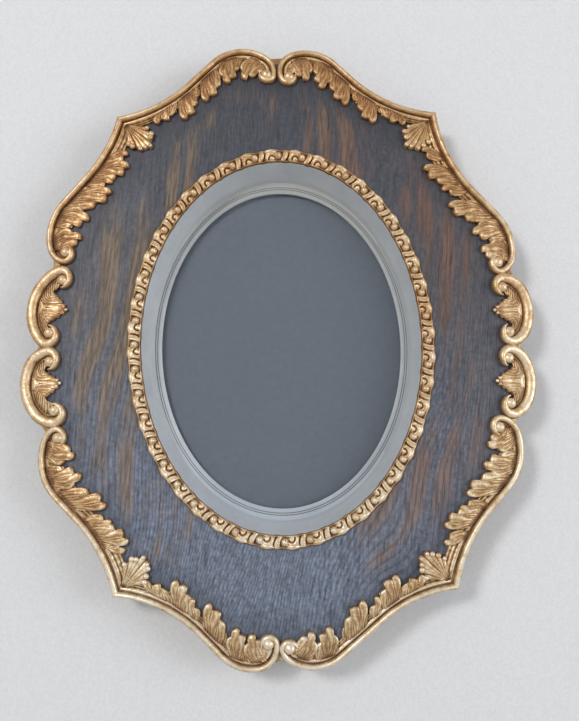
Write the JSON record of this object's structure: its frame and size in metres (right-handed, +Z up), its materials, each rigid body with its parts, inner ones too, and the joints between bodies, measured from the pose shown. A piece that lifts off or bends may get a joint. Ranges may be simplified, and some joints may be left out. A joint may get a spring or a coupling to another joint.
{
  "type": "ornate gilded picture frame",
  "caption": "Wall-hung ornate picture frame: a scrolled, crowned oak panel edged with gilt scrollwork, round an oval glazed opening.",
  "frame": {"origin": "centre of the sight oval, on the plane of the wall", "axes": "+Z up, front towards -Y, back to the wall at +Y"},
  "size_m": [0.3193, 0.032, 0.3903],
  "materials": {
    "stained_oak": "dark slate-blue stain, worn to brown",
    "gilding": "gilded composition, satin",
    "silver_leaf": "silver leaf on wood, satin",
    "clear_glass": "clear",
    "grey_card": "matt grey card",
    "backing_board": "raw hardboard",
    "brass_fittings": "plain",
    "felt": "felt"
  },
  "bodies": {
    "frame": {"panel": "stained_oak", "liner": "silver_leaf", "glass": "clear_glass", "picture_card": "grey_card", "backing_board": "backing_board", "top_left_scroll": "gilding", "top_right_scroll": "gilding", "bottom_left_scroll": "gilding", "bottom_right_scroll": "gilding", "upper_left_shoulder": "gilding", "upper_right_shoulder": "gilding", "lower_left_shoulder": "gilding", "lower_right_shoulder": "gilding", "left_upper_c_scroll": "gilding", "left_lower_c_scroll": "gilding", "right_upper_c_scroll": "gilding", "right_lower_c_scroll": "gilding", "top_left_palmette": "gilding", "top_right_palmette": "gilding", "bottom_left_palmette": "gilding", "bottom_right_palmette": "gilding", "rope_upper_right": "gilding", "rope_upper_left": "gilding", "rope_lower_left": "gilding", "rope_lower_right": "gilding", "left_hanger_strap": "brass_fittings", "right_hanger_strap": "brass_fittings", "back_screws": "brass_fittings", "wall_pads": "felt"},
    "turn_button_1": {"turn_button_1": "brass_fittings"},
    "turn_button_2": {"turn_button_2": "brass_fittings"},
    "turn_button_3": {"turn_button_3": "brass_fittings"},
    "turn_button_4": {"turn_button_4": "brass_fittings"},
    "left_hanger_ring": {"left_hanger_ring": "brass_fittings"},
    "right_hanger_ring": {"right_hanger_ring": "brass_fittings"}
  },
  "joints": [
    {"name": "turn_button_1_turn", "type": "hinge", "parent": "frame", "child": "turn_button_1", "pos_m": [0.06498, -0.00365, 0.08294], "axis": [0, 1, 0], "continuous": true},
    {"name": "turn_button_2_turn", "type": "hinge", "parent": "frame", "child": "turn_button_2", "pos_m": [-0.06498, -0.00365, 0.08294], "axis": [0, 1, 0], "continuous": true},
    {"name": "turn_button_3_turn", "type": "hinge", "parent": "frame", "child": "turn_button_3", "pos_m": [-0.06498, -0.00365, -0.08294], "axis": [0, 1, 0], "continuous": true},
    {"name": "turn_button_4_turn", "type": "hinge", "parent": "frame", "child": "turn_button_4", "pos_m": [0.06498, -0.00365, -0.08294], "axis": [0, 1, 0], "continuous": true},
    {"name": "left_hanger_ring_swing", "type": "hinge", "parent": "frame", "child": "left_hanger_ring", "pos_m": [-0.118, -0.0026, 0.072], "axis": [-1, 0, 0], "range_deg": [0, 175]},
    {"name": "right_hanger_ring_swing", "type": "hinge", "parent": "frame", "child": "right_hanger_ring", "pos_m": [0.118, -0.0026, 0.072], "axis": [-1, 0, 0], "range_deg": [0, 175]}
  ]
}
